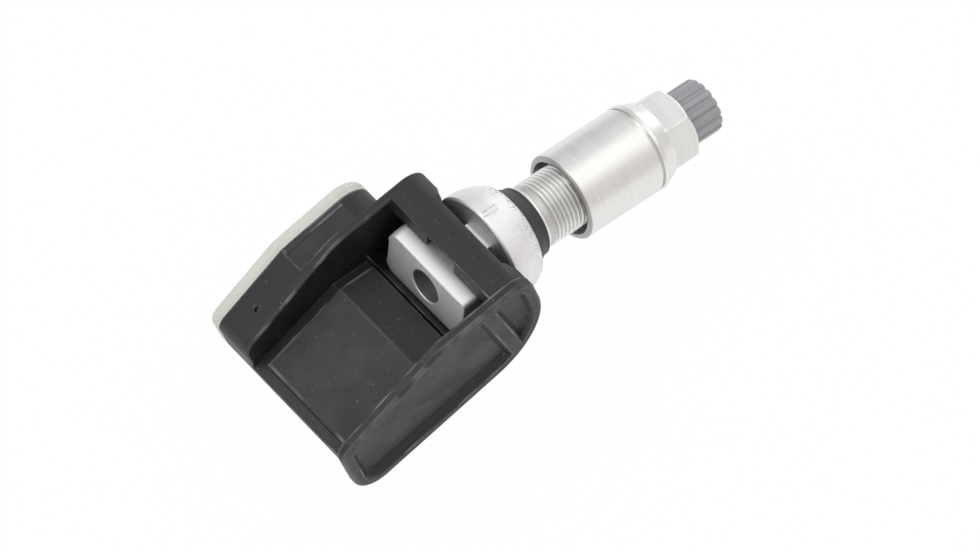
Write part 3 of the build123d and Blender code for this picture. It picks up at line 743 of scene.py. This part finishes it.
class SENSOR_OT_cap(bpy.types.Operator):
    """Ribbed valve cap"""
    bl_idname = "sensor.cap"
    bl_label = "Valve cap"

    def execute(self, context):
        settings = context.scene.sensor_cap
        low, high = (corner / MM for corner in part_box("valve_cap"))
        radius, bore, skirt, end_wall, edge = 4.45, 3.95, 1.2, 1.8, 0.5
        groove, groove_depth, groove_ease, end_ring = 0.42, 0.36, 0.3, 1.2
        step, corner_steps, rib_steps, room = 0.3, 6, 14, 0.05
        pitch = 2 * math.pi / settings.ribs

        def scallop(x, reach, angle):
            if reach < radius - edge - room or x < low.x + skirt:
                return reach
            offset = angle - pitch * round(angle / pitch)
            centre = radius + groove - groove_depth
            inside = groove ** 2 - (centre * math.sin(offset)) ** 2
            if inside <= 0:
                return reach
            dip = radius - (centre * math.cos(offset) - math.sqrt(inside))
            ease = min(1, (x - low.x - skirt) / groove_ease)
            return reach - max(0, dip) * ease

        outline = [(low.x, bore), (low.x, radius)]
        outline += [(x, radius) for x in spread(low.x + skirt, high.x - edge, step)]
        corner = [(high.x - edge, radius, 0), (high.x, radius, edge), (high.x, 0, 0)]
        outline += rounded(corner, corner_steps)[1:-1]
        outline += [(high.x, radius - end_ring), (high.x, 0), (high.x - end_wall, 0),
                    (high.x - end_wall, bore)]
        cap = lathe(outline, steps=rib_steps * settings.ribs, shape=scallop)
        plastic = moulded("moulded_grey_nylon", settings.plastic, roughness=0.3, grain_mm=0.5,
                          depth_mm=0.03, ior=1.75)
        make_piece("valve_cap_moulding", cap, "valve_cap", plastic)
        return {"FINISHED"}


class SENSOR_OT_core(bpy.types.Operator):
    """Finishes of the valve core and the cap's washer"""
    bl_idname = "sensor.core"
    bl_label = "Valve core"

    def execute(self, context):
        brass = lined_metal("turned_brass", linear("#C9A25E"), roughness=0.3, line_mm=0.2,
                            stretch=(1.0, 0.05, 0.05))
        dress("valve_core_body", brass)
        dress("core_pin", brass)
        # The spring becomes a piece of its own, with its own copy of the mesh
        coil = bmesh.new()
        coil.from_mesh(frame["nodes"]["core_spring"].data)
        steel = lined_metal("drawn_spring_steel", linear("#B4B4B6"), roughness=0.3, line_mm=0.1,
                            stretch=(0.3, 1.0, 1.0))
        spring = make_piece("core_spring_coil", coil, "core_spring", steel)
        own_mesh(spring)
        dress("core_seal_ring", moulded(
            "turned_fluoropolymer", linear("#A8423A"), roughness=0.4, grain_mm=0.3, depth_mm=0.02,
            ior=1.36))
        dress("cap_seal", moulded(
            "cut_rubber_sheet", linear("#232325"), roughness=0.6, grain_mm=0.4, depth_mm=0.04))
        return {"FINISHED"}


class SENSOR_OT_electronics(bpy.types.Operator):
    """Finishes of the board, the battery and the pieces on the board"""
    bl_idname = "sensor.electronics"
    bl_label = "Electronics"

    def execute(self, context):
        dress("circuit_board", moulded(
            "solder_masked_laminate", linear("#1F5A3A"), roughness=0.35, grain_mm=0.6, depth_mm=0.03))
        dress("battery_cell", lined_metal(
            "pressed_nickel_plated_steel", linear("#CFCDC8"), roughness=0.25, line_mm=0.3,
            stretch=(1.0, 1.0, 0.1)))
        nickel = lined_metal("rolled_nickel_strip", linear("#C8C4BC"), roughness=0.3, line_mm=0.15,
                             stretch=(1.0, 0.05, 0.05))
        dress("battery_tab_positive", nickel)
        dress("battery_tab_negative", nickel)
        dress("pressure_chip", moulded(
            "moulded_epoxy", linear("#1C1C1E"), roughness=0.55, grain_mm=0.25, depth_mm=0.03))
        # The membrane is painted a dark grey so that the port hole reads dark: a painted shade
        dress("port_filter", moulded(
            "stretched_fluoropolymer_membrane", linear("#6E6E6B"), roughness=0.8, grain_mm=0.15,
            depth_mm=0.03, ior=1.36))
        dress("wake_up_coil", lined_metal(
            "enamelled_copper_winding", linear("#8A4B28"), roughness=0.35, line_mm=0.12,
            stretch=(1.0, 0.05, 0.05), depth_mm=0.02))
        dress("crystal", lined_metal(
            "drawn_nickel_silver_can", linear("#CFCBC2"), roughness=0.25, line_mm=0.2,
            stretch=(0.1, 1.0, 1.0)))
        dress("capacitors", moulded(
            "fired_ceramic", linear("#9C7B57"), roughness=0.4, grain_mm=0.2, depth_mm=0.02, ior=1.7))
        dress("antenna", lined_metal(
            "stamped_phosphor_bronze", linear("#C08A5A"), roughness=0.3, line_mm=0.15,
            stretch=(0.05, 1.0, 1.0)))
        return {"FINISHED"}


class SENSOR_OT_stage(bpy.types.Operator):
    """White floor, three soft boxes, a pale room and the camera"""
    bl_idname = "sensor.stage"
    bl_label = "Stage"

    def execute(self, context):
        settings = context.scene.sensor_stage
        scene = context.scene
        # A wide floor a little below the part
        floor_size = 20.0
        floor_mesh = bmesh.new()
        bmesh.ops.create_grid(floor_mesh, x_segments=1, y_segments=1, size=floor_size / 2)
        data = bpy.data.meshes.new("floor")
        floor_mesh.to_mesh(data)
        floor_mesh.free()
        data.materials.append(white_floor())
        floor = bpy.data.objects.new("floor", data)
        floor.location.z = cad_box[0].z - settings.floor_drop
        scene.collection.objects.link(floor)
        # One large soft box overhead, one past the valve's cap and one past the housing's rear
        aim, lamp_distance = Vector((12, 0, 0)) * MM, 1.3
        for name, direction, width, height, energy in (
                ("soft_box_overhead", (0.41, -0.16, 0.90), 1.2, 0.8, 1.55),
                ("soft_box_behind", (0.84, 0.40, 0.37), 1.0, 0.6, 1.8),
                ("soft_box_rear", (-0.52, 0.26, 0.81), 0.8, 0.6, 4.0)):
            toward_lamp = Vector(direction).normalized()
            lamp_data = bpy.data.lights.new(name, "AREA")
            lamp_data.shape = "RECTANGLE"
            lamp_data.size = width
            lamp_data.size_y = height
            lamp_data.energy = energy
            lamp = bpy.data.objects.new(name, lamp_data)
            lamp.location = aim + lamp_distance * toward_lamp
            lamp.rotation_euler = toward_lamp.to_track_quat("Z", "Y").to_euler()
            scene.collection.objects.link(lamp)
        # Pale room: brighter overhead than at its walls, darker on the left, a little warm on the right,
        # and white to the eye
        world = bpy.data.worlds.new("studio")
        world.use_nodes = True
        tree = world.node_tree
        tree.nodes.clear()
        coordinates = add(tree, "ShaderNodeTexCoord")
        direction = add(tree, "ShaderNodeSeparateXYZ", {"Vector": coordinates.outputs["Generated"]})
        height = add(tree, "ShaderNodeMapRange", {
            "Value": direction.outputs["Z"], "From Min": 0.0, "From Max": 1.0,
            "To Min": 0.72, "To Max": 0.85})
        left_wall = add(tree, "ShaderNodeMapRange", {
            "Value": direction.outputs["Y"], "From Min": 0.2, "From Max": 0.8,
            "To Min": 1.0, "To Max": 0.84})
        shade = add(tree, "ShaderNodeMath", {
            0: height.outputs["Result"], 1: left_wall.outputs["Result"]}, operation="MULTIPLY")
        path = add(tree, "ShaderNodeLightPath")
        level = add(tree, "ShaderNodeMix", {
            "Factor": path.outputs["Is Camera Ray"], 2: shade.outputs[0], 3: 1.0}, data_type="FLOAT")
        right_wall = add(tree, "ShaderNodeMapRange", {
            "Value": direction.outputs["Y"], "From Min": 0.0, "From Max": -1.0})
        hue = add(tree, "ShaderNodeMix", {
            "Factor": right_wall.outputs["Result"], 6: (1, 1, 1, 1), 7: opaque(linear("#FFF8F2"))},
            data_type="RGBA")
        room = add(tree, "ShaderNodeBackground", {
            "Color": hue.outputs[2], "Strength": level.outputs[0]})
        add(tree, "ShaderNodeOutputWorld", {"Surface": room.outputs["Background"]})
        scene.world = world
        # Long lens at the photograph's angle; the axes are the picture's right, up and toward the viewer,
        # and the picture's middle lies right of and above a point on the valve's axis
        toward = Vector((-0.4067, -0.4019, 0.8205)).normalized()
        right = Vector((0.7640, -0.6418, 0.0644))
        right = (right - right.dot(toward) * toward).normalized()
        up = toward.cross(right)
        axis_point, rightward, upward = Vector((-19.35, 0, 0)), 9.559, 1.574
        middle = (axis_point + rightward * right + upward * up) * MM
        camera_data = bpy.data.cameras.new("camera")
        camera_data.sensor_width = 36.0
        camera_data.lens = camera_data.sensor_width * settings.distance / settings.picture_width
        camera = bpy.data.objects.new("camera", camera_data)
        camera.matrix_world = Matrix.Translation(middle + settings.distance * toward) @ Matrix(
            (right, up, toward)).transposed().to_4x4()
        scene.collection.objects.link(camera)
        scene.camera = camera
        scene.view_settings.view_transform = "Standard"
        return {"FINISHED"}


OPERATORS = (
    SENSOR_OT_housing, SENSOR_OT_cover, SENSOR_OT_barrel, SENSOR_OT_collar, SENSOR_OT_stem, SENSOR_OT_nut,
    SENSOR_OT_cap, SENSOR_OT_core, SENSOR_OT_electronics, SENSOR_OT_stage,
)
SETTINGS = {
    "sensor_housing": HousingSettings,
    "sensor_stem": StemSettings,
    "sensor_nut": NutSettings,
    "sensor_cap": CapSettings,
    "sensor_stage": StageSettings,
}


class SENSOR_PT_panel(bpy.types.Panel):
    """Lists the sensor's pieces and its stage"""
    bl_idname = "SENSOR_PT_panel"
    bl_label = "Tyre pressure sensor"
    bl_space_type = "VIEW_3D"
    bl_region_type = "UI"
    bl_category = "Sensor"

    def draw(self, context):
        for operator in OPERATORS:
            self.layout.operator(operator.bl_idname)


def register():
    for name, group in SETTINGS.items():
        bpy.utils.register_class(group)
        setattr(bpy.types.Scene, name, bpy.props.PointerProperty(type=group))
    for operator in OPERATORS:
        bpy.utils.register_class(operator)
    bpy.utils.register_class(SENSOR_PT_panel)


def unregister():
    bpy.utils.unregister_class(SENSOR_PT_panel)
    for operator in reversed(OPERATORS):
        bpy.utils.unregister_class(operator)
    for name, group in SETTINGS.items():
        delattr(bpy.types.Scene, name)
        bpy.utils.unregister_class(group)


def main():
    register()
    bpy.ops.sensor.housing()
    bpy.ops.sensor.cover()
    bpy.ops.sensor.barrel()
    bpy.ops.sensor.collar()
    bpy.ops.sensor.stem()
    bpy.ops.sensor.nut()
    bpy.ops.sensor.cap()
    bpy.ops.sensor.core()
    bpy.ops.sensor.electronics()
    bpy.ops.sensor.stage()


if __name__ == "__main__":
    main()
